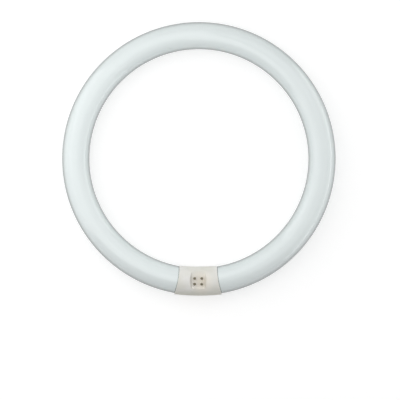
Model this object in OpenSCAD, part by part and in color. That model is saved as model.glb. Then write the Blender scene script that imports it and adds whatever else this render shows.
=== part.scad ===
// Circular fluorescent lamp: a glass ring closed by a four-pin plastic base.
// It lies on the plane z = 0 with the ring's axis on Z. The base is on the -Y side and
// its pins point up. Sizes are in millimetres.

/* [Glass ring] */
// Outside diameter of the ring
ring_od = 305; // [200:1:420]
// Diameter of the glass tube
tube_d = 30.5; // [28:0.1:38]
// Distance between the two sealed ends, face to face
end_gap = 25; // [24.5:0.1:28]
// Length of the straight stub that carries each sealed end
stub_len = 6; // [5.5:0.1:8]
// Radius of the rounded shoulder of a sealed end
shoulder_r = 5; // [3:0.1:5.2]
// How much the tube draws in, all round, where its end was sealed
seal_neck = 0.1; // [0.05:0.05:0.4]

/* [Stem in each sealed end] */
// Diameter of the stem's recess at its mouth
recess_mouth_d = 14; // [12:0.1:16]
// Diameter of the stem's recess at its floor
recess_floor_d = 10.4; // [9.4:0.1:11.5]
// Depth of the stem's recess
recess_depth = 7; // [4:0.1:9]
// Diameter of the sealed exhaust tip
exhaust_d = 3.2; // [2.4:0.1:3.6]
// Height of the exhaust tip above the end face
exhaust_len = 5; // [2:0.1:6]
// Distance between the two lead wires in a stem
lead_pitch = 6; // [5.6:0.1:7]

/* [Base] */
// Length of the base along the tube
base_len = 47.6; // [44:0.1:56]
// Wall of the base between the mouths
base_wall = 0.9; // [0.8:0.05:1.4]
// Room between the glass and the bore of a mouth
glass_room = 0.1; // [0.05:0.01:0.2]
// Radius to which the base's own centre line is bent
base_bend_r = 220; // [160:5:320]
// How far the mouths sit outward of the tube's centre line
mouth_shift = 0.3; // [0:0.05:0.4]
// How far each mouth's edge dips toward the middle of the base
mouth_dip = 1.65; // [0.6:0.05:2.6]
// Width of the band in each mouth that grips the glass
grip_w = 1.4; // [0.8:0.1:2]
// Distance from a mouth to its grip band
grip_inset = 3.2; // [2.8:0.1:3.6]
// Thickness of the rib that a sealed end stops against
stop_t = 1.2; // [0.8:0.1:1.6]
// Diameter of the hole in that rib
stop_hole_d = 18.4; // [17.5:0.1:19.2]
// Depth of the groove along the seam of the two halves
seam_depth = 0.25; // [0.1:0.05:0.4]

/* [Pin pocket] */
// Width of the pocket's floor along the tube
pocket_w = 14; // [13:0.1:14.4]
// Depth of the floor below the crest of the base
pocket_drop = 3.55; // [2.5:0.05:4]
// Distance from the middle of the pins to the foot of the outer slope
pocket_reach = 7.1; // [5.8:0.1:7.6]
// Lean of the two side walls, from upright
side_lean = 30; // [10:1:32]
// Rise of the outer slope, from level
outer_rise = 35; // [25:1:60]
// Thickness of the pocket's floor
floor_t = 1.6; // [1.2:0.1:2.2]
// Thickness of the block beside the pocket
pocket_rim = 1; // [0.8:0.1:1.2]

/* [Contact pins] */
// Diameter of a pin
pin_d = 2.35; // [2.2:0.01:2.5]
// Length of a pin above the floor
pin_len = 7.2; // [6:0.1:8]
// Distance between pins along the tube
pin_pitch_x = 7.92; // [7:0.01:9]
// Distance between pins across the tube
pin_pitch_y = 6.35; // [6:0.01:7]
// Radius of the rounding at a pin's tip
pin_tip_r = 0.6; // [0.3:0.05:0.9]
// Diameter of the solder dimple in the tip
dimple_d = 0.9; // [0.6:0.1:1.1]
// Depth of the solder dimple
dimple_depth = 0.4; // [0.2:0.1:0.8]
// Diameter of the part pressed into the floor
press_d = 3; // [2.8:0.1:3.4]
// Diameter of the collar under the floor
collar_d = 4; // [3.6:0.1:4.6]
// Thickness of that collar
collar_t = 0.8; // [0.5:0.1:1.2]
// Length of the tail that takes the wire
tail_len = 1.5; // [1:0.1:2]
// Depth to which the wire enters the tail
wire_seat = 2.5; // [1.5:0.1:3]

/* [Leads] */
// Diameter of a lead wire
lead_d = 0.6; // [0.4:0.05:0.8]
// Diameter of the sleeve on a lead
sleeve_d = 1.3; // [1.1:0.05:1.4]
// Radius of a lead's bend
lead_bend_r = 4; // [2.5:0.1:4.5]
// Length of a lead that is sealed into the stem's glass
lead_seal = 1.2; // [0.8:0.1:2]
// Bare length of a lead between the stem and its sleeve
sleeve_start = 2; // [1:0.1:4]
// Length of sleeve above the bend
sleeve_rise = 3; // [1:0.1:3.4]

/* [Snap tabs] */
// Width of a tab
tab_w = 4; // [3:0.1:5]
// Thickness of a tab
tab_t = 1.3; // [1:0.1:1.6]
// Distance of a tab from the middle of the base
tab_x = 6; // [4:0.1:6.5]
// Height of a tab above the seam
tab_h = 3; // [2.6:0.1:3.4]
// Height of the hook's catching face above the seam
hook_z = 1.6; // [1.2:0.1:1.8]
// Reach of the hook from the tab's face
hook_reach = 0.9; // [0.7:0.05:1]
// Room between a tab and the wall it passes
tab_room = 0.35; // [0.25:0.05:0.5]
// Room around a hook in its window
window_room = 0.12; // [0.05:0.01:0.2]

/* [Hidden] */
$fn = 120;
tube_r = tube_d / 2;
stub_r = tube_r - seal_neck;
ring_r = (ring_od - tube_d) / 2;
bore_r = tube_r + glass_room;
base_r = bore_r + base_wall;

// The straight stub leaves the ring's circle at stub_turn from the middle of the base.
stub_turn = atan(stub_len / ring_r) + asin(end_gap / 2 / norm([ring_r, stub_len]));
end_y = -(ring_r * cos(stub_turn) + stub_len * sin(stub_turn));

// The base's centre line is an arc through the middles of its two mouths.
mouth_turn = base_len / 2 / ring_r * 180 / PI;
mouth_x = (ring_r + mouth_shift) * sin(mouth_turn);
mouth_y = -(ring_r + mouth_shift) * cos(mouth_turn);
base_cy = mouth_y + sqrt(pow(base_bend_r, 2) - pow(mouth_x, 2));
base_mid_y = base_cy - base_bend_r;
mouth_arc_r = (pow(base_r, 2) + pow(mouth_dip, 2)) / (2 * mouth_dip);
bar_turn = asin((mouth_x + base_r) / base_bend_r);
grip_turn = mouth_turn - grip_inset / ring_r * 180 / PI;
grip_angle = grip_w / ring_r * 180 / PI;
grip_root = 0.2;

floor_z = base_r - pocket_drop;
pocket_top_w = pocket_w + 2 * pocket_drop * tan(side_lean);
tail_z = floor_z - floor_t - collar_t - tail_len;
tab_face = sqrt(pow(bore_r, 2) - pow(tab_h, 2)) - tab_room;
tab_root = base_wall / 3;
recess_flare = (recess_mouth_d - recess_floor_d) / recess_depth;
clear = 60;
// How far a form runs into what it is one with, and a hole runs out past its mouth
merge = 1;

sides = [-1, 1];
corners = [[-1, 1], [1, 1], [-1, -1], [1, -1]];

glass_colour = [0.88, 0.91, 0.905];
base_colour = [0.88, 0.87, 0.84];
pin_colour = [0.55, 0.52, 0.44];
wire_colour = [0.66, 0.66, 0.64];
sleeve_colour = [0.9, 0.88, 0.8];

// The lamp's own plane, through the middle of the tube, lifted so that the base lies on z = 0.
module lamp_plane()
    translate([0, 0, base_r])
    children();

// One sealed end: the origin is the middle of its face and +X leaves the glass.
module end_frame(side)
    mirror([side > 0 ? 1 : 0, 0, 0])
    translate([-end_gap / 2, end_y, 0])
    rotate([0, 0, -stub_turn])
    children();

module along_x()
    rotate([0, 90, 0])
    children();

// Part of a ring of circular section, centred on the -Y side.
module ring_arc(r, turn)
    rotate([0, 0, -90 - turn])
    rotate_extrude(angle = 2 * turn)
    translate([r, 0])
    children();

// Stub with a rounded shoulder, solid
module sealed_stub()
    along_x()
    translate([0, 0, -stub_len])
    rotate_extrude()
    union() {
        translate([0, -merge])
            square([stub_r, stub_len - shoulder_r + merge]);
        square([stub_r - shoulder_r, stub_len]);
        intersection() {
            translate([stub_r - shoulder_r, stub_len - shoulder_r])
                circle(shoulder_r);
            square([stub_r, stub_len]);
        }
    }

// Re-entrant flare of the stem
module stem_recess()
    translate([-recess_depth, 0, 0])
    along_x()
    cylinder(
        h = recess_depth + merge,
        d1 = recess_floor_d,
        d2 = recess_mouth_d + merge * recess_flare
    );

module exhaust_tip()
    translate([-recess_depth, 0, 0])
    along_x()
    rotate_extrude()
    union() {
        translate([0, -merge])
            square([exhaust_d / 2, recess_depth + exhaust_len - exhaust_d / 2 + merge]);
        intersection() {
            translate([0, recess_depth + exhaust_len - exhaust_d / 2])
                circle(exhaust_d / 2);
            square([exhaust_d, recess_depth + exhaust_len]);
        }
    }

module glass_tube()
    color(glass_colour)
    lamp_plane()
    union() {
        difference() {
            union() {
                rotate([0, 0, -90 + stub_turn])
                    rotate_extrude(angle = 360 - 2 * stub_turn)
                    translate([ring_r, 0])
                    circle(tube_r);
                for (side = sides)
                    end_frame(side) sealed_stub();
            }
            for (side = sides)
                end_frame(side) stem_recess();
            for (corner = corners)
                from_pin(corner)
                translate([lead_reach(corner) - lead_seal, 0, 0])
                along_x()
                cylinder(d = lead_d, h = 2 * lead_seal);
        }
        end_frame(-1) exhaust_tip();
    }

module base_bar(r)
    translate([0, base_cy, 0])
    ring_arc(base_bend_r, bar_turn)
    circle(r);

// Everything on the glass's side of a plane in the end frame
module glass_side(x)
    translate([x - clear, -clear / 2, -clear / 2])
    cube([clear, clear, clear]);

// The concave edge of a mouth, seen from the pins
module mouth_cut(side)
    mirror([side > 0 ? 1 : 0, 0, 0])
    translate([-mouth_x, mouth_y, 0])
    rotate([0, 0, -mouth_turn])
    translate([mouth_dip - mouth_arc_r, 0, 0])
    cylinder(r = mouth_arc_r, h = clear, center = true, $fn = 360);

// Room for the leads, between the two stop ribs
module middle_room()
    difference() {
        base_bar(bore_r);
        for (side = sides)
            end_frame(side) glass_side(stop_t);
    }

module glass_bore(side)
    intersection() {
        ring_arc(ring_r, 2 * mouth_turn)
            circle(bore_r);
        end_frame(side) glass_side(0);
    }

module stop_hole()
    translate([-1, 0, 0])
    along_x()
    cylinder(d = stop_hole_d, h = stop_t + 2);

module seam_line()
    translate([0, base_cy, 0])
    for (r = [base_bend_r - base_r, base_bend_r + base_r])
        ring_arc(r, bar_turn)
        polygon([[-seam_depth, 0], [0, -seam_depth], [seam_depth, 0], [0, seam_depth]]);

// The pocket's floor with all that is solid above it
module pocket_block()
    translate([-pocket_top_w / 2 - pocket_rim, -ring_r - clear / 2, floor_z - floor_t])
    cube([pocket_top_w + 2 * pocket_rim, clear, clear]);

// The closed sleeve that the two halves make, without its middle room
module sleeve_blank()
    difference() {
        base_bar(base_r);
        for (side = sides) {
            mouth_cut(side);
            glass_bore(side);
            end_frame(side) stop_hole();
        }
        seam_line();
    }

// Band that grips the glass, one in each mouth
module grip_bands()
    for (side = sides)
        rotate([0, 0, side * grip_turn])
        ring_arc(ring_r, grip_angle / 2)
        difference() {
            circle(bore_r + grip_root);
            circle(tube_r);
        }

// Upper or lower half of the lamp's space
module half_space(sign)
    translate([-clear, -ring_r - clear, sign > 0 ? 0 : -clear])
    cube([2 * clear, 2 * clear, clear]);

// The pocket is open toward the middle of the ring, where its floor runs out of the crest.
module pocket()
    intersection() {
        translate([0, -ring_r + clear / 2, floor_z])
            rotate([90, 0, 0])
            linear_extrude(clear)
            polygon([
                [-pocket_w / 2, 0],
                [pocket_w / 2, 0],
                [pocket_w / 2 + 2 * pocket_drop * tan(side_lean), 2 * pocket_drop],
                [-pocket_w / 2 - 2 * pocket_drop * tan(side_lean), 2 * pocket_drop]
            ]);
        translate([-clear / 2, -ring_r, floor_z])
            rotate([90, 0, 90])
            linear_extrude(clear)
            polygon([
                [-pocket_reach, 0],
                [clear / 2, 0],
                [clear / 2, 2 * pocket_drop],
                [-pocket_reach - 2 * pocket_drop / tan(outer_rise), 2 * pocket_drop]
            ]);
    }

module at_pin(corner)
    translate(pin_point(corner))
    children();

// Places a tab's outline, drawn outward from the base's centre line, at its four places.
module at_tabs(width)
    for (x = [-tab_x, tab_x], side = sides)
        translate([x, base_mid_y, 0])
        mirror([0, side > 0 ? 0 : 1, 0])
        rotate([90, 0, 90])
        translate([0, 0, -width / 2])
        linear_extrude(width)
        children();

module tab_outline()
    polygon([
        [tab_face - tab_t, -tab_h],
        [bore_r + tab_root, -tab_h],
        [bore_r + tab_root, 0],
        [tab_face, 0],
        [tab_face, hook_z],
        [tab_face + hook_reach, hook_z],
        [tab_face + hook_reach, hook_z + 0.3],
        [tab_face, tab_h],
        [tab_face - tab_t, tab_h]
    ]);

module window_outline()
    polygon([
        [tab_face, hook_z],
        [tab_face + hook_reach + window_room, hook_z],
        [tab_face + hook_reach + window_room, hook_z + 0.3 + window_room],
        [tab_face + 0.3, tab_h + window_room],
        [tab_face, tab_h + window_room]
    ]);

module base_front()
    color(base_colour)
    lamp_plane()
    difference() {
        intersection() {
            union() {
                difference() {
                    sleeve_blank();
                    difference() {
                        middle_room();
                        pocket_block();
                    }
                }
                grip_bands();
            }
            half_space(1);
        }
        pocket();
        for (corner = corners)
            at_pin(corner)
            cylinder(d = press_d, h = floor_z + merge);
        at_tabs(tab_w + 2 * window_room) window_outline();
    }

module base_back()
    color(base_colour)
    lamp_plane()
    union() {
        intersection() {
            union() {
                difference() {
                    sleeve_blank();
                    middle_room();
                }
                grip_bands();
            }
            half_space(-1);
        }
        at_tabs(tab_w) tab_outline();
    }

// Turned pin: tail and collar under the floor, pressed part in it, contact above it
module contact_pin(i)
    color(pin_colour)
    lamp_plane()
    at_pin(corners[i])
    translate([0, 0, floor_z])
    difference() {
        rotate_extrude()
        union() {
            square([pin_d / 2, pin_len - pin_tip_r]);
            square([pin_d / 2 - pin_tip_r, pin_len]);
            intersection() {
                translate([pin_d / 2 - pin_tip_r, pin_len - pin_tip_r])
                    circle(pin_tip_r);
                square([pin_d, pin_len]);
            }
            translate([0, tail_z - floor_z])
                square([press_d / 2, floor_z - tail_z]);
            translate([0, -floor_t - collar_t])
                square([collar_d / 2, collar_t]);
        }
        translate([0, 0, pin_len - dimple_depth])
            cylinder(d = dimple_d, h = dimple_depth + merge);
        translate([0, 0, tail_z - floor_z - merge])
            cylinder(d = lead_d, h = wire_seat + merge);
    }

// A lead hangs from its pin, turns in a quarter bend and runs level to the floor of its stem.
function stem_point(c) = [
    c[0] * (end_gap / 2 + recess_depth * cos(stub_turn) - c[1] * lead_pitch / 2 * sin(stub_turn)),
    end_y + recess_depth * sin(stub_turn) + c[1] * lead_pitch / 2 * cos(stub_turn)
];
function pin_point(c) = [c[0] * pin_pitch_x / 2, -ring_r + c[1] * pin_pitch_y / 2];
function lead_way(c) = stem_point(c) - pin_point(c);
function lead_reach(c) = round(100 * norm(lead_way(c))) / 100;

// The origin is straight below a pin, and +X points to the lead's place in the stem.
module from_pin(c)
    translate(pin_point(c))
    rotate([0, 0, atan2(lead_way(c)[1], lead_way(c)[0])])
    children();

module lead_run(c, far_end, top)
    from_pin(c) {
        translate([lead_bend_r, 0, 0])
            along_x()
            linear_extrude(far_end - lead_bend_r)
            children();
        translate([lead_bend_r, 0, lead_bend_r])
            rotate([90, 0, 0])
            rotate([0, 0, 180])
            rotate_extrude(angle = 90)
            translate([lead_bend_r, 0])
            children();
        translate([0, 0, lead_bend_r])
            linear_extrude(top - lead_bend_r)
            children();
    }

module lead_wire(i)
    color(wire_colour)
    lamp_plane()
    lead_run(corners[i], lead_reach(corners[i]) + lead_seal, tail_z + wire_seat)
    circle(d = lead_d);

module lead_sleeve(i)
    color(sleeve_colour)
    lamp_plane()
    lead_run(corners[i], lead_reach(corners[i]) - sleeve_start, lead_bend_r + sleeve_rise)
    difference() {
        circle(d = sleeve_d);
        circle(d = lead_d);
    }

glass_tube();
base_front();
base_back();
for (i = [0:3]) {
    contact_pin(i);
    lead_wire(i);
    lead_sleeve(i);
}
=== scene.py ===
import math

import bmesh
import bpy
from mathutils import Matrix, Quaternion, Vector


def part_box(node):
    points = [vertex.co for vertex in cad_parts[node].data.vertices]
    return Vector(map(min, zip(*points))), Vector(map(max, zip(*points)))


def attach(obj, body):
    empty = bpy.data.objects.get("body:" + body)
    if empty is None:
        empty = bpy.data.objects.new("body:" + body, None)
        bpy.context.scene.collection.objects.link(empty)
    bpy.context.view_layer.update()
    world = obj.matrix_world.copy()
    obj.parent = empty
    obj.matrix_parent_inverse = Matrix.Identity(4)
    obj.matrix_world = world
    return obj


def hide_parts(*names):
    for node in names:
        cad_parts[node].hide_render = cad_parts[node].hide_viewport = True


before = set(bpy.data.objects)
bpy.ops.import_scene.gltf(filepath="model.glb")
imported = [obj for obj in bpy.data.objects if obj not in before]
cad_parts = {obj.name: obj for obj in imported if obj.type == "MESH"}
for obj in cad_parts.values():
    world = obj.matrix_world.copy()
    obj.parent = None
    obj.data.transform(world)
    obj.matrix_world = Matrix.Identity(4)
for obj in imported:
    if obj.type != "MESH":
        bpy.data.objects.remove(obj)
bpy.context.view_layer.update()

# Glass ring. One soda-glass tube, bent hot into a circle and sealed at both ends on a re-entrant
# stem. The white is phosphor powder on the inside of the glass. One end keeps its exhaust tip,
# and both ends are held in the base.
RING_OD = 0.305
TUBE_D = 0.0305
END_GAP = 0.025
STUB_LEN = 0.006
SEAL_NECK = 0.0001
SEAL_STEP = 0.0004
SHOULDER_R = 0.005
RECESS_MOUTH_R = 0.007
RECESS_FLOOR_R = 0.0052
RECESS_DEPTH = 0.007
MOUTH_CORNER = 0.0005
STEM_CORNER = 0.0004
EXHAUST_R = 0.0016
EXHAUST_LEN = 0.005
TUBE_R = TUBE_D / 2
RING_R = (RING_OD - TUBE_D) / 2
# The base's seam, and so its upper half's lowest edge, is level with the tube's middle.
LAMP_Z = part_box("base_front")[0].z
STUB_TURN = math.atan(STUB_LEN / RING_R) + math.asin(END_GAP / 2 / math.hypot(RING_R, STUB_LEN))
GLASS_SIDES = 96
GLASS_STEPS = 540
SHOULDER_STEPS = 10
TIP_STEPS = 6
# The exhaust tip's dome stops this many degrees short of its pole, and a fan closes it.
TIP_POLE = 10
SHARP_ANGLE = math.radians(35)

# The bend leaves the tube out of round by this share of its radius. The waves start past a true
# stretch beside the base, and the sink keeps them inside the true circle. A slow wave is (crests
# round the ring, shift, share), and a quick one has its crests and its share.
BEND_WAVE = 0.0022
WAVE_START = 0.12
WAVE_FADE = 0.5
WAVE_SINK = 0.6
OVAL_SHARE = 0.5
QUICK_SHARE = 0.5
SLOW_WAVES = ((3, 0.7, 1.0), (7, 2.1, 0.6))
TWIST_CRESTS, TWIST_SHARE = 19, 0.25
SLANT_CRESTS, SLANT_SHARE = 31, 0.2


def arc_points(centre_a, centre_b, radius, start, end, steps):
    """Points of an arc in a flat profile, the first one left out."""
    for i in range(1, steps + 1):
        angle = math.radians(start + (end - start) * i / steps)
        yield centre_a + radius * math.cos(angle), centre_b + radius * math.sin(angle)


def end_profile(with_tip):
    """A sealed end as (distance past the end of the bend, radius), from its middle outward."""
    floor = STUB_LEN - RECESS_DEPTH
    profile = []
    if with_tip:
        dome = STUB_LEN + EXHAUST_LEN - EXHAUST_R
        profile += reversed(list(arc_points(dome, 0, EXHAUST_R, 90, TIP_POLE, TIP_STEPS)))
        profile += [(dome, EXHAUST_R), (floor + STEM_CORNER, EXHAUST_R)]
        profile.append((floor, EXHAUST_R + STEM_CORNER))
    profile += [(floor, RECESS_FLOOR_R - STEM_CORNER), (floor + STEM_CORNER, RECESS_FLOOR_R)]
    profile.append((STUB_LEN - MOUTH_CORNER, RECESS_MOUTH_R))
    profile.append((STUB_LEN, RECESS_MOUTH_R + MOUTH_CORNER))
    neck_r = TUBE_R - SEAL_NECK
    bend_x, bend_r = STUB_LEN - SHOULDER_R, neck_r - SHOULDER_R
    profile.append((STUB_LEN, bend_r))
    profile += arc_points(bend_x, bend_r, SHOULDER_R, 0, 90, SHOULDER_STEPS)
    profile.append((SEAL_STEP, neck_r))
    return profile


def bend_wave(turn, side):
    """How far the tube's wall stands off its true circle, fading out before the base."""
    far = min(turn, 2 * math.pi - turn) - STUB_TURN
    fade = min(1, max(0, far - WAVE_START) / WAVE_FADE)
    fade = fade * fade * (3 - 2 * fade)
    slow = sum(share * math.sin(crests * turn + shift) for crests, shift, share in SLOW_WAVES)
    oval = OVAL_SHARE * math.cos(2 * side) * slow
    twist = TWIST_SHARE * math.sin(TWIST_CRESTS * turn + 3 * math.cos(side))
    slant = SLANT_SHARE * math.sin(SLANT_CRESTS * turn - 2 * side)
    return TUBE_R * BEND_WAVE * fade * (oval + QUICK_SHARE * (twist + slant) - WAVE_SINK)


def tube_ring(mesh, turn, past, radius, wavy):
    """One ring of points round the tube. past is the distance beyond the bend, along the stub."""
    out = Vector((math.sin(turn), -math.cos(turn), 0))
    along = Vector((math.cos(turn), math.sin(turn), 0))
    toward_end = -1 if turn < math.pi else 1
    middle = out * RING_R + along * past * toward_end + Vector((0, 0, LAMP_Z))
    points = []
    for i in range(GLASS_SIDES):
        side = 2 * math.pi * i / GLASS_SIDES
        r = radius + (bend_wave(turn, side) if wavy else 0)
        place = middle + out * r * math.cos(side) + Vector((0, 0, r * math.sin(side)))
        points.append(mesh.verts.new(place))
    return points


def bridge(mesh, first, second):
    """Joins two rings of points with a band of faces."""
    for i in range(len(first)):
        j = (i + 1) % len(first)
        mesh.faces.new((first[i], first[j], second[j], second[i]))


def close_ring(mesh, ring, flip):
    """Closes a ring of points with a fan to its middle."""
    middle = mesh.verts.new(sum((v.co for v in ring), Vector()) / len(ring))
    for i in range(len(ring)):
        j = (i + 1) % len(ring)
        mesh.faces.new((ring[j], ring[i], middle) if flip else (ring[i], ring[j], middle))


def finished_object(name, mesh):
    """A smooth object from a bmesh, with its hard corners kept sharp."""
    bmesh.ops.recalc_face_normals(mesh, faces=mesh.faces)
    data = bpy.data.meshes.new(name)
    mesh.to_mesh(data)
    mesh.free()
    data.shade_smooth()
    data.set_sharp_from_angle(angle=SHARP_ANGLE)
    made = bpy.data.objects.new(name, data)
    bpy.context.scene.collection.objects.link(made)
    return made


def glass_ring():
    """The whole tube: a plain sealed end, the bend, and the sealed end with the exhaust tip."""
    mesh = bmesh.new()
    rings = [tube_ring(mesh, STUB_TURN, past, r, False) for past, r in end_profile(False)]
    far_turn = 2 * math.pi - STUB_TURN
    for i in range(GLASS_STEPS + 1):
        turn = STUB_TURN + (far_turn - STUB_TURN) * i / GLASS_STEPS
        rings.append(tube_ring(mesh, turn, 0, TUBE_R, True))
    tipped = [tube_ring(mesh, far_turn, past, r, False) for past, r in end_profile(True)]
    rings += reversed(tipped)
    for first, second in zip(rings, rings[1:]):
        bridge(mesh, first, second)
    close_ring(mesh, rings[0], False)
    close_ring(mesh, rings[-1], True)
    return finished_object("glass_ring", mesh)


def set_sockets(node, sockets):
    """Gives plain values to a node's inputs. A space in an input's name is written as _."""
    for socket, value in sockets.items():
        node.inputs[socket.replace("_", " ")].default_value = value
    return node


def new_material(name, **sockets):
    """A material with its Principled shader, whose plain sockets take the given values."""
    material = bpy.data.materials.new(name)
    material.use_nodes = True
    shader = set_sockets(material.node_tree.nodes["Principled BSDF"], sockets)
    return material, material.node_tree, shader


def add_node(tree, kind, **sockets):
    return set_sockets(tree.nodes.new(kind), sockets)


def add_group(tree, group, **sockets):
    node = tree.nodes.new("ShaderNodeGroup")
    node.node_tree = group
    return set_sockets(node, sockets)


def mixed_colour(tree, mask, first, second):
    """The first colour where the mask is 0, and the second where it is 1."""
    mix = tree.nodes.new("ShaderNodeMix")
    mix.data_type = "RGBA"
    colour_a, colour_b, colour_out = mix.inputs[6], mix.inputs[7], mix.outputs[2]
    tree.links.new(mask, mix.inputs["Factor"])
    for socket, colour in ((colour_a, first), (colour_b, second)):
        if isinstance(colour, tuple):
            socket.default_value = colour
        else:
            tree.links.new(colour, socket)
    return colour_out


def combined(tree, operation, *values, clamp=False):
    """The result of a Math node on the outputs given."""
    node = tree.nodes.new("ShaderNodeMath")
    node.operation = operation
    node.use_clamp = clamp
    for value, socket in zip(values, node.inputs):
        tree.links.new(value, socket)
    return node.outputs["Value"]


def faded(tree, value, start, end, low=0.0, high=1.0, smooth=False):
    """Goes from low to high as the value goes from start to end."""
    node = add_node(
        tree, "ShaderNodeMapRange", From_Min=start, From_Max=end, To_Min=low, To_Max=high
    )
    if smooth:
        node.interpolation_type = "SMOOTHSTEP"
    tree.links.new(value, node.inputs["Value"])
    return node.outputs["Result"]


def new_group(name, inputs, outputs):
    """An empty shader group. Each input and output is (name, kind, default)."""
    group = bpy.data.node_groups.new(name, "ShaderNodeTree")
    for in_out, sockets in (("INPUT", inputs), ("OUTPUT", outputs)):
        for socket_name, kind, default in sockets:
            made = group.interface.new_socket(
                name=socket_name, in_out=in_out, socket_type="NodeSocket" + kind
            )
            if default is not None:
                made.default_value = default
    return group, group.nodes.new("NodeGroupInput"), group.nodes.new("NodeGroupOutput")


def cloudy_coat_group():
    """Slow and fine unevenness of a coat or a moulded skin: a tinted colour and a mask."""
    group, given, made = new_group(
        "cloudy_coat",
        [
            ("Color", "Color", (1, 1, 1, 1)),
            ("Deep Color", "Color", (1, 1, 1, 1)),
            ("Cloud Scale", "Float", 30.0),
            ("Grain Scale", "Float", 900.0),
            ("Cloud Amount", "Float", 0.5),
            ("Grain Amount", "Float", 0.2),
        ],
        [("Color", "Color", None), ("Mask", "Float", None)],
    )
    link = group.links.new
    place = group.nodes.new("ShaderNodeTexCoord")
    clouds = add_node(group, "ShaderNodeTexNoise", Detail=4.0, Roughness=0.55)
    grain = add_node(group, "ShaderNodeTexNoise", Detail=2.0, Roughness=0.6)
    for noise, scale in ((clouds, "Cloud Scale"), (grain, "Grain Scale")):
        link(place.outputs["Object"], noise.inputs["Vector"])
        link(given.outputs[scale], noise.inputs["Scale"])
    cloud_part = combined(
        group, "MULTIPLY", clouds.outputs["Fac"], given.outputs["Cloud Amount"]
    )
    mask = combined(
        group,
        "MULTIPLY_ADD",
        grain.outputs["Fac"],
        given.outputs["Grain Amount"],
        cloud_part,
        clamp=True,
    )
    tinted = mixed_colour(group, mask, given.outputs["Color"], given.outputs["Deep Color"])
    link(tinted, made.inputs["Color"])
    link(mask, made.inputs["Mask"])
    return group


cloudy_coat = cloudy_coat_group()

PHOSPHOR = (0.85, 0.915, 0.912, 1)
PHOSPHOR_THIN = (0.80, 0.88, 0.878, 1)
# Painted shade: toward the rim the colour goes to a dark green-grey, between these values of Layer
# Weight's Facing. This is partly the glass's own green seen edge-on, and partly painted shade and
# painted reflection of dark surroundings.
GLASS_RIM_SHADE = (0.13, 0.16, 0.155, 1)
GLASS_RIM_SHADE_FROM = 0.32
GLASS_RIM_SHADE_TO = 0.92
# Painted shade: the glass is darkened in a thin line along the base's lips, where the lips shade
# it. The line is full where the glass is open to its surroundings by LIP_CLOSED, and gone where it
# is by LIP_OPEN.
LIP_SHADE = (0.10, 0.115, 0.11, 1)
LIP_SHADE_WIDTH = 0.0012
LIP_CLOSED = 0.45
LIP_OPEN = 0.97
# Rays with which a material feels the surfaces round it.
FEELER_RAYS = 8


def phosphor_glass():
    """Pale powder seen through clear glass, with painted shade toward its rim and in a thin line
    along the base's lips.
    """
    material, tree, shader = new_material(
        "phosphor_glass", Roughness=0.07, IOR=1.52, Specular_IOR_Level=0.8
    )
    powder = add_group(
        tree,
        cloudy_coat,
        Color=PHOSPHOR,
        Deep_Color=PHOSPHOR_THIN,
        Cloud_Scale=22.0,
        Grain_Scale=1400.0,
        Cloud_Amount=0.5,
        Grain_Amount=0.25,
    )
    # Painted shade: the colour darkens toward the tube's rim.
    rim = add_node(tree, "ShaderNodeLayerWeight", Blend=0.5)
    edge = faded(tree, rim.outputs["Facing"], GLASS_RIM_SHADE_FROM, GLASS_RIM_SHADE_TO, smooth=True)
    glass = mixed_colour(tree, edge, powder.outputs["Color"], GLASS_RIM_SHADE)
    # Painted shade along the base's lips, found by ambient occlusion.
    near = add_node(tree, "ShaderNodeAmbientOcclusion", Distance=LIP_SHADE_WIDTH)
    near.samples = FEELER_RAYS
    clear_of_lip = faded(tree, near.outputs["AO"], LIP_CLOSED, LIP_OPEN)
    shaded = mixed_colour(tree, clear_of_lip, LIP_SHADE, glass)
    tree.links.new(shaded, shader.inputs["Base Color"])
    return material


ring = glass_ring()
ring.data.materials.append(phosphor_glass())
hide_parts("glass_tube")
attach(ring, "root")

# Base. Two moulded halves of warm white plastic that snap together round the glass ends, with a
# seam along both sides. The upper half has the pocket in which the pins stand. Every edge is
# slightly rounded, as a mould leaves it.
MOULD_RADIUS = 0.0003
PLASTIC = (0.93, 0.925, 0.90, 1)
PLASTIC_DEEP = (0.905, 0.895, 0.85, 1)
# Age shows in patches, where their mask is between these values. Along the outer side, between
# these places on the Y axis, the same darker colour is painted shade, for the side that the light
# reaches least.
PLASTIC_AGED_AND_SHADED = (0.77, 0.76, 0.66, 1)
PATCH_FROM = 0.42
PATCH_TO = 0.75
PATCH_MOST = 0.6
OUTER_SHADE_FROM = -0.1455
OUTER_SHADE_TO = -0.1525
OUTER_SHADE_MOST = 0.9
# Heat from the pins has turned the plastic round them a little warmer. The same colour is also
# painted light: it lightens the pocket's floor and its right wall, standing in for the light and
# the glow through the plastic there.
PLASTIC_HEATED_AND_LIT = (0.99, 0.91, 0.77, 1)
HEAT_AND_LIGHT_CENTRE = (0.0035, -0.1385, 0.029)
HEAT_AND_LIGHT_NEAR = 0.003
HEAT_AND_LIGHT_FAR = 0.015
HEAT_AND_LIGHT_MOST = 0.75


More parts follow.
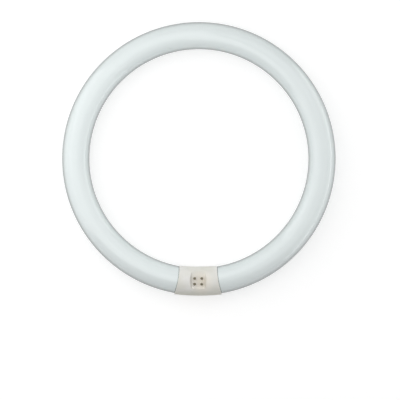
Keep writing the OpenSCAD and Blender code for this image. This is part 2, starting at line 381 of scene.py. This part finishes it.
def base_plastic():
    """Satin moulded plastic with patches of age, painted shade along its outer side, and a warmer
    tint with painted light at the pins.
    """
    material, tree, shader = new_material(
        "base_plastic", Roughness=0.42, IOR=1.49, Specular_IOR_Level=0.3
    )
    link = tree.links.new
    skin = add_group(
        tree,
        cloudy_coat,
        Color=PLASTIC,
        Deep_Color=PLASTIC_DEEP,
        Cloud_Scale=60.0,
        Grain_Scale=2600.0,
        Cloud_Amount=0.6,
        Grain_Amount=0.25,
    )
    age = add_group(
        tree,
        cloudy_coat,
        Color=(0, 0, 0, 1),
        Deep_Color=(1, 1, 1, 1),
        Cloud_Scale=38.0,
        Grain_Scale=300.0,
        Cloud_Amount=1.0,
        Grain_Amount=0.1,
    )
    place = tree.nodes.new("ShaderNodeTexCoord")
    across = tree.nodes.new("ShaderNodeSeparateXYZ")
    link(place.outputs["Object"], across.inputs["Vector"])
    patches = faded(tree, age.outputs["Mask"], PATCH_FROM, PATCH_TO, high=PATCH_MOST)
    # Painted shade: the outer side is darkened.
    outer = faded(tree, across.outputs["Y"], OUTER_SHADE_FROM, OUTER_SHADE_TO, high=OUTER_SHADE_MOST)
    either = combined(tree, "MAXIMUM", patches, outer)
    aged_and_shaded = mixed_colour(tree, either, skin.outputs["Color"], PLASTIC_AGED_AND_SHADED)
    # Partly painted light: round the pins the plastic is warmed and lightened.
    away = tree.nodes.new("ShaderNodeVectorMath")
    away.operation = "DISTANCE"
    link(place.outputs["Object"], away.inputs[0])
    away.inputs[1].default_value = HEAT_AND_LIGHT_CENTRE
    heat_and_light = faded(tree, away.outputs["Value"], HEAT_AND_LIGHT_NEAR, HEAT_AND_LIGHT_FAR, low=HEAT_AND_LIGHT_MOST, high=0.0)
    link(mixed_colour(tree, heat_and_light, aged_and_shaded, PLASTIC_HEATED_AND_LIT), shader.inputs["Base Color"])
    soft_edge = add_node(tree, "ShaderNodeBevel", Radius=MOULD_RADIUS)
    soft_edge.samples = FEELER_RAYS
    bump = add_node(tree, "ShaderNodeBump", Strength=0.12, Distance=0.0002)
    link(skin.outputs["Mask"], bump.inputs["Height"])
    link(soft_edge.outputs["Normal"], bump.inputs["Normal"])
    link(bump.outputs["Normal"], shader.inputs["Normal"])
    return material


def dress(node, material):
    """Gives a CAD piece its material."""
    node.data.materials.clear()
    node.data.materials.append(material)


plastic = base_plastic()
for half in ("base_front", "base_back"):
    dress(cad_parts[half], plastic)

# Contact pins. Four turned brass pins with a dull plating, pressed through the pocket's floor up
# to a collar. Each takes its wire in the tail below the floor, and has a solder dimple in its tip.
PIN_COUNT = 4
PIN_METAL = (0.17, 0.155, 0.115, 1)
PIN_METAL_DEEP = (0.11, 0.095, 0.065, 1)


def dull_metal(name, roughness, **coat):
    """Metal with an uneven tone, as a dulled plating or a drawn wire has."""
    material, tree, shader = new_material(name, Roughness=roughness, Metallic=1.0)
    plating = add_group(tree, cloudy_coat, **coat)
    tree.links.new(plating.outputs["Color"], shader.inputs["Base Color"])
    return material


plated_pin = dull_metal(
    "pin_metal",
    0.38,
    Color=PIN_METAL,
    Deep_Color=PIN_METAL_DEEP,
    Cloud_Scale=900.0,
    Grain_Scale=6000.0,
    Cloud_Amount=0.7,
    Grain_Amount=0.3,
)
for i in range(1, PIN_COUNT + 1):
    dress(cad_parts[f"contact_pin_{i}"], plated_pin)

# Leads. A nickel-iron wire runs from each pin to its stem inside the base, in a sleeve of woven
# glass fibre. The wire is sealed into the stem's glass at one end and into the pin at the other.
WIRE_METAL = (0.36, 0.35, 0.32, 1)
WIRE_METAL_DEEP = (0.25, 0.24, 0.21, 1)
SLEEVE_THREAD = (0.74, 0.70, 0.55, 1)
SLEEVE_GAP = (0.55, 0.50, 0.38, 1)


def sleeve_weave():
    """Slanted threads of glass fibre with darker gaps between them."""
    material, tree, shader = new_material("sleeve_weave", Roughness=0.85)
    link = tree.links.new
    place = tree.nodes.new("ShaderNodeTexCoord")
    thread = add_node(tree, "ShaderNodeTexWave", Scale=900.0, Distortion=0.6)
    thread.bands_direction = "DIAGONAL"
    link(place.outputs["Object"], thread.inputs["Vector"])
    woven = mixed_colour(tree, thread.outputs["Fac"], SLEEVE_GAP, SLEEVE_THREAD)
    link(woven, shader.inputs["Base Color"])
    bump = add_node(tree, "ShaderNodeBump", Strength=0.5, Distance=0.0001)
    link(thread.outputs["Fac"], bump.inputs["Height"])
    link(bump.outputs["Normal"], shader.inputs["Normal"])
    return material


lead_metal = dull_metal(
    "lead_metal",
    0.32,
    Color=WIRE_METAL,
    Deep_Color=WIRE_METAL_DEEP,
    Cloud_Scale=700.0,
    Grain_Scale=5000.0,
    Cloud_Amount=0.6,
    Grain_Amount=0.3,
)
weave = sleeve_weave()
for i in range(1, PIN_COUNT + 1):
    dress(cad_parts[f"lead_wire_{i}"], lead_metal)
    dress(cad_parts[f"lead_sleeve_{i}"], weave)

# Floor. A plain white sheet under the lamp. Seen directly or in a reflection it is white, also
# far from the soft boxes, and it keeps the lamp's shadow. A camera below it looks through it.
FLOOR_HALF = 12.0
FLOOR_WHITE = (0.56, 0.56, 0.56, 1)
FLOOR_BOUNCE = (0.78, 0.78, 0.78, 1)
FLOOR_GLOW = 0.59
FLOOR_GLOW_FAR = 0.89
FLOOR_GLOW_START = 0.12
FLOOR_GLOW_END = 1.6


def seen_mask(tree):
    """1 for camera, glossy and transmission rays, and 0 for the others."""
    ray = tree.nodes.new("ShaderNodeLightPath").outputs
    camera_or_glossy = combined(tree, "MAXIMUM", ray["Is Camera Ray"], ray["Is Glossy Ray"])
    return combined(tree, "MAXIMUM", camera_or_glossy, ray["Is Transmission Ray"])


def one_or_other(tree, mask, first, second):
    """The first shader where the mask is 0, and the second where it is 1."""
    mix = tree.nodes.new("ShaderNodeMixShader")
    tree.links.new(mask, mix.inputs["Fac"])
    tree.links.new(first, mix.inputs[1])
    tree.links.new(second, mix.inputs[2])
    return mix.outputs["Shader"]


def floor_material():
    """A matt sheet that looks white when seen, and lights the lamp as a pale sheet does."""
    material = bpy.data.materials.new("white_floor")
    material.use_nodes = True
    tree = material.node_tree
    tree.nodes.clear()
    link = tree.links.new
    seen = add_node(tree, "ShaderNodeBsdfDiffuse", Color=FLOOR_WHITE)
    bounced = add_node(tree, "ShaderNodeBsdfDiffuse", Color=FLOOR_BOUNCE)
    glow = tree.nodes.new("ShaderNodeEmission")
    place = tree.nodes.new("ShaderNodeTexCoord")
    away = tree.nodes.new("ShaderNodeVectorMath")
    away.operation = "LENGTH"
    link(place.outputs["Object"], away.inputs[0])
    strength = faded(
        tree,
        away.outputs["Value"],
        FLOOR_GLOW_START,
        FLOOR_GLOW_END,
        FLOOR_GLOW,
        FLOOR_GLOW_FAR,
    )
    link(strength, glow.inputs["Strength"])
    lit = tree.nodes.new("ShaderNodeAddShader")
    link(seen.outputs["BSDF"], lit.inputs[0])
    link(glow.outputs["Emission"], lit.inputs[1])
    white = one_or_other(tree, seen_mask(tree), bounced.outputs["BSDF"], lit.outputs["Shader"])
    side = tree.nodes.new("ShaderNodeNewGeometry")
    ray = tree.nodes.new("ShaderNodeLightPath")
    from_below = combined(
        tree, "MULTIPLY", side.outputs["Backfacing"], ray.outputs["Is Camera Ray"]
    )
    clear = tree.nodes.new("ShaderNodeBsdfTransparent")
    out = tree.nodes.new("ShaderNodeOutputMaterial")
    white_or_clear = one_or_other(tree, from_below, white, clear.outputs["BSDF"])
    link(white_or_clear, out.inputs["Surface"])
    return material


sheet = bmesh.new()
corners = [(-1, -1), (1, -1), (1, 1), (-1, 1)]
sheet.faces.new([sheet.verts.new((x * FLOOR_HALF, y * FLOOR_HALF, 0)) for x, y in corners])
floor = finished_object("floor", sheet)
floor.data.materials.append(floor_material())

# Light. A pale room and eight soft boxes. The ones above and at the left show as broad streaks
# on the glass, and the low strip at the right shows as a thin one.
ROOM_WHITE = (1, 1, 1, 1)
ROOM_LIGHT = 0.2
ROOM_SEEN = 1.0
OVER_HEIGHT = 0.6
# Name, place in X and Y, width, depth, and how bright the face is.
OVER_BOXES = (
    ("over_box", -0.41, 0, 0.88, 0.75, 1.1),
    ("over_far_box", -0.41, 0.52, 0.88, 0.28, 0.8),
    ("over_right_box", 0.36, 0.1, 0.6, 0.9, 0.62),
)
# Name, place, the point it is aimed at, width, height, and how bright the face is.
SIDE_BOXES = (
    ("left_box", (-1.0, 0.15, 0.42), (0, 0.1, 0.1), 1.6, 0.8, 0.78),
    ("low_right_strip", (1.0, 0, 0.15), (0, 0, 0.14), 2.2, 0.2, 1.8),
    ("right_box", (1.0, 0, 0.5), (0, 0, 0.3), 1.8, 0.5, 0.68),
    ("corner_box", (-0.8, 0.8, 0.5), (0, 0, 0.1), 0.9, 0.8, 0.3),
    ("far_box", (0, 1.1, 0.5), (0, 0, 0.1), 1.4, 0.8, 0.2),
)

world = bpy.data.worlds.new("pale_room")
bpy.context.scene.world = world
world.use_nodes = True
room = world.node_tree
background = set_sockets(room.nodes["Background"], {"Color": ROOM_WHITE})
room_level = faded(room, seen_mask(room), 0.0, 1.0, ROOM_LIGHT, ROOM_SEEN)
room.links.new(room_level, background.inputs["Strength"])


def soft_box(name, place, target, width, height, level):
    """A rectangular lamp aimed at a point. level is how bright its face is."""
    lamp = bpy.data.lights.new(name, "AREA")
    lamp.shape = "RECTANGLE"
    lamp.size = width
    lamp.size_y = height
    lamp.energy = level * math.pi * width * height
    box = bpy.data.objects.new(name, lamp)
    box.location = place
    box.rotation_euler = (Vector(target) - Vector(place)).to_track_quat("-Z", "Y").to_euler()
    box.visible_camera = False
    bpy.context.scene.collection.objects.link(box)


for name, x, y, width, depth, level in OVER_BOXES:
    soft_box(name, (x, y, OVER_HEIGHT), (x, y, 0), width, depth, level)
for values in SIDE_BOXES:
    soft_box(*values)

# Camera. It looks down on the lying lamp from far away and from a little toward the base. Its
# slight roll is the photograph's own.
CAMERA_PLACE = (0.0015, -0.184, 3.3)
CAMERA_AIM = (0.0015, -0.04645, 0.01625)
CAMERA_LENS = 265.47
CAMERA_SENSOR = 36
CAMERA_ROLL = math.radians(0.35)
camera_data = bpy.data.cameras.new("camera")
camera_data.lens = CAMERA_LENS
camera_data.sensor_width = CAMERA_SENSOR
camera = bpy.data.objects.new("camera", camera_data)
camera.location = CAMERA_PLACE
look = Vector(CAMERA_AIM) - Vector(CAMERA_PLACE)
level_view = look.to_track_quat("-Z", "Y")
camera.rotation_euler = (level_view @ Quaternion((0, 0, 1), CAMERA_ROLL)).to_euler()
bpy.context.scene.collection.objects.link(camera)
bpy.context.scene.camera = camera
bpy.context.scene.view_settings.view_transform = "Standard"
